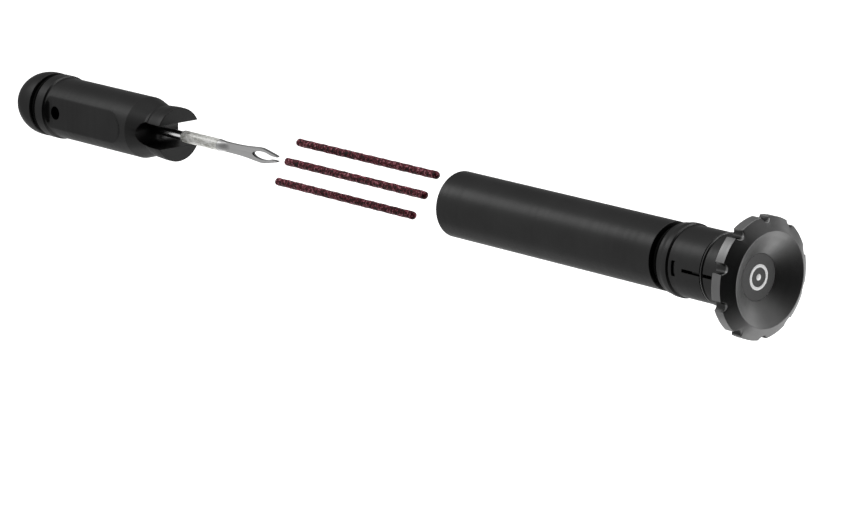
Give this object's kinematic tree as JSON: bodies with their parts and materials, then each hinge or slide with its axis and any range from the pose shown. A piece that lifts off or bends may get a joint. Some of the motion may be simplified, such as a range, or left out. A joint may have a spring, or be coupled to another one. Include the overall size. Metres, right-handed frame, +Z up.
{
  "type": "tyre plug insertion tool",
  "caption": "Bar-end tyre plug tool laid out in line: handle with split-eye fork, rope plugs, and a storage sleeve with an expanding collet and fluted dished head.",
  "frame": {"origin": "on the tool's axis, at the middle of the pilot land that centres the tool in the handlebar", "axes": "+X along the tool, from the handle towards the head's outer face; +Z up; the cross hole and the jaw slot run along Y"},
  "size_m": [0.2711, 0.0278, 0.0278],
  "materials": {
    "anodised_black": "satin black anodised",
    "anodised_head": "satin black anodised, finely turned",
    "badge_grey": "satin grey anodised with a light ring mark",
    "seal_rubber": "matt black",
    "steel": "satin, polished shank",
    "blasted_steel": "blasted and finely knurled",
    "brass": "turned",
    "nylon": "natural",
    "plug_rubber": "tacky rubber over plied fibre, speckled"
  },
  "bodies": {
    "sleeve": {"sleeve_tube": "anodised_black", "end_plug": "anodised_black", "sleeve_oring": "seal_rubber", "collet": "anodised_black", "collet_oring": "seal_rubber"},
    "head": {"head_knob": "anodised_head", "head_badge": "badge_grey", "draw_screw": "steel", "stop_clip": "steel", "thrust_washer": "nylon"},
    "wedge": {"wedge_cone": "anodised_black", "wedge_nut": "brass"},
    "handle": {"handle_body": "anodised_black", "handle_cap": "anodised_black", "handle_oring": "seal_rubber", "fork": "steel", "fork_ferrule": "blasted_steel"},
    "string_top": {"plug_top": "plug_rubber"},
    "string_middle": {"plug_middle": "plug_rubber"},
    "string_bottom": {"plug_bottom": "plug_rubber"}
  },
  "joints": [
    {"name": "handle_slide", "type": "slide", "parent": "sleeve", "child": "handle", "axis": [1, 0, 0], "range_m": [0, 0.1178]},
    {"name": "head_turn", "type": "hinge", "parent": "sleeve", "child": "head", "pos_m": [0, 0, 0], "axis": [1, 0, 0], "range_deg": [0, 720]},
    {"name": "wedge_slide", "type": "slide", "parent": "sleeve", "child": "wedge", "axis": [1, 0, 0], "range_m": [0, 0.00301]},
    {"name": "string_top_slide", "type": "slide", "parent": "sleeve", "child": "string_top", "axis": [1, 0, 0], "range_m": [0, 0.0716]},
    {"name": "string_middle_slide", "type": "slide", "parent": "sleeve", "child": "string_middle", "axis": [1, 0, 0], "range_m": [0, 0.0716]},
    {"name": "string_bottom_slide", "type": "slide", "parent": "sleeve", "child": "string_bottom", "axis": [1, 0, 0], "range_m": [0, 0.0805]}
  ],
  "couplings": [
    {"joint": "wedge_slide", "follows": "head_turn", "m_per_rad": 0.00023873},
    {"joint": "string_top_slide", "follows": "handle_slide", "ratio": 0.6065},
    {"joint": "string_middle_slide", "follows": "handle_slide", "ratio": 0.604},
    {"joint": "string_bottom_slide", "follows": "handle_slide", "ratio": 0.6805}
  ]
}
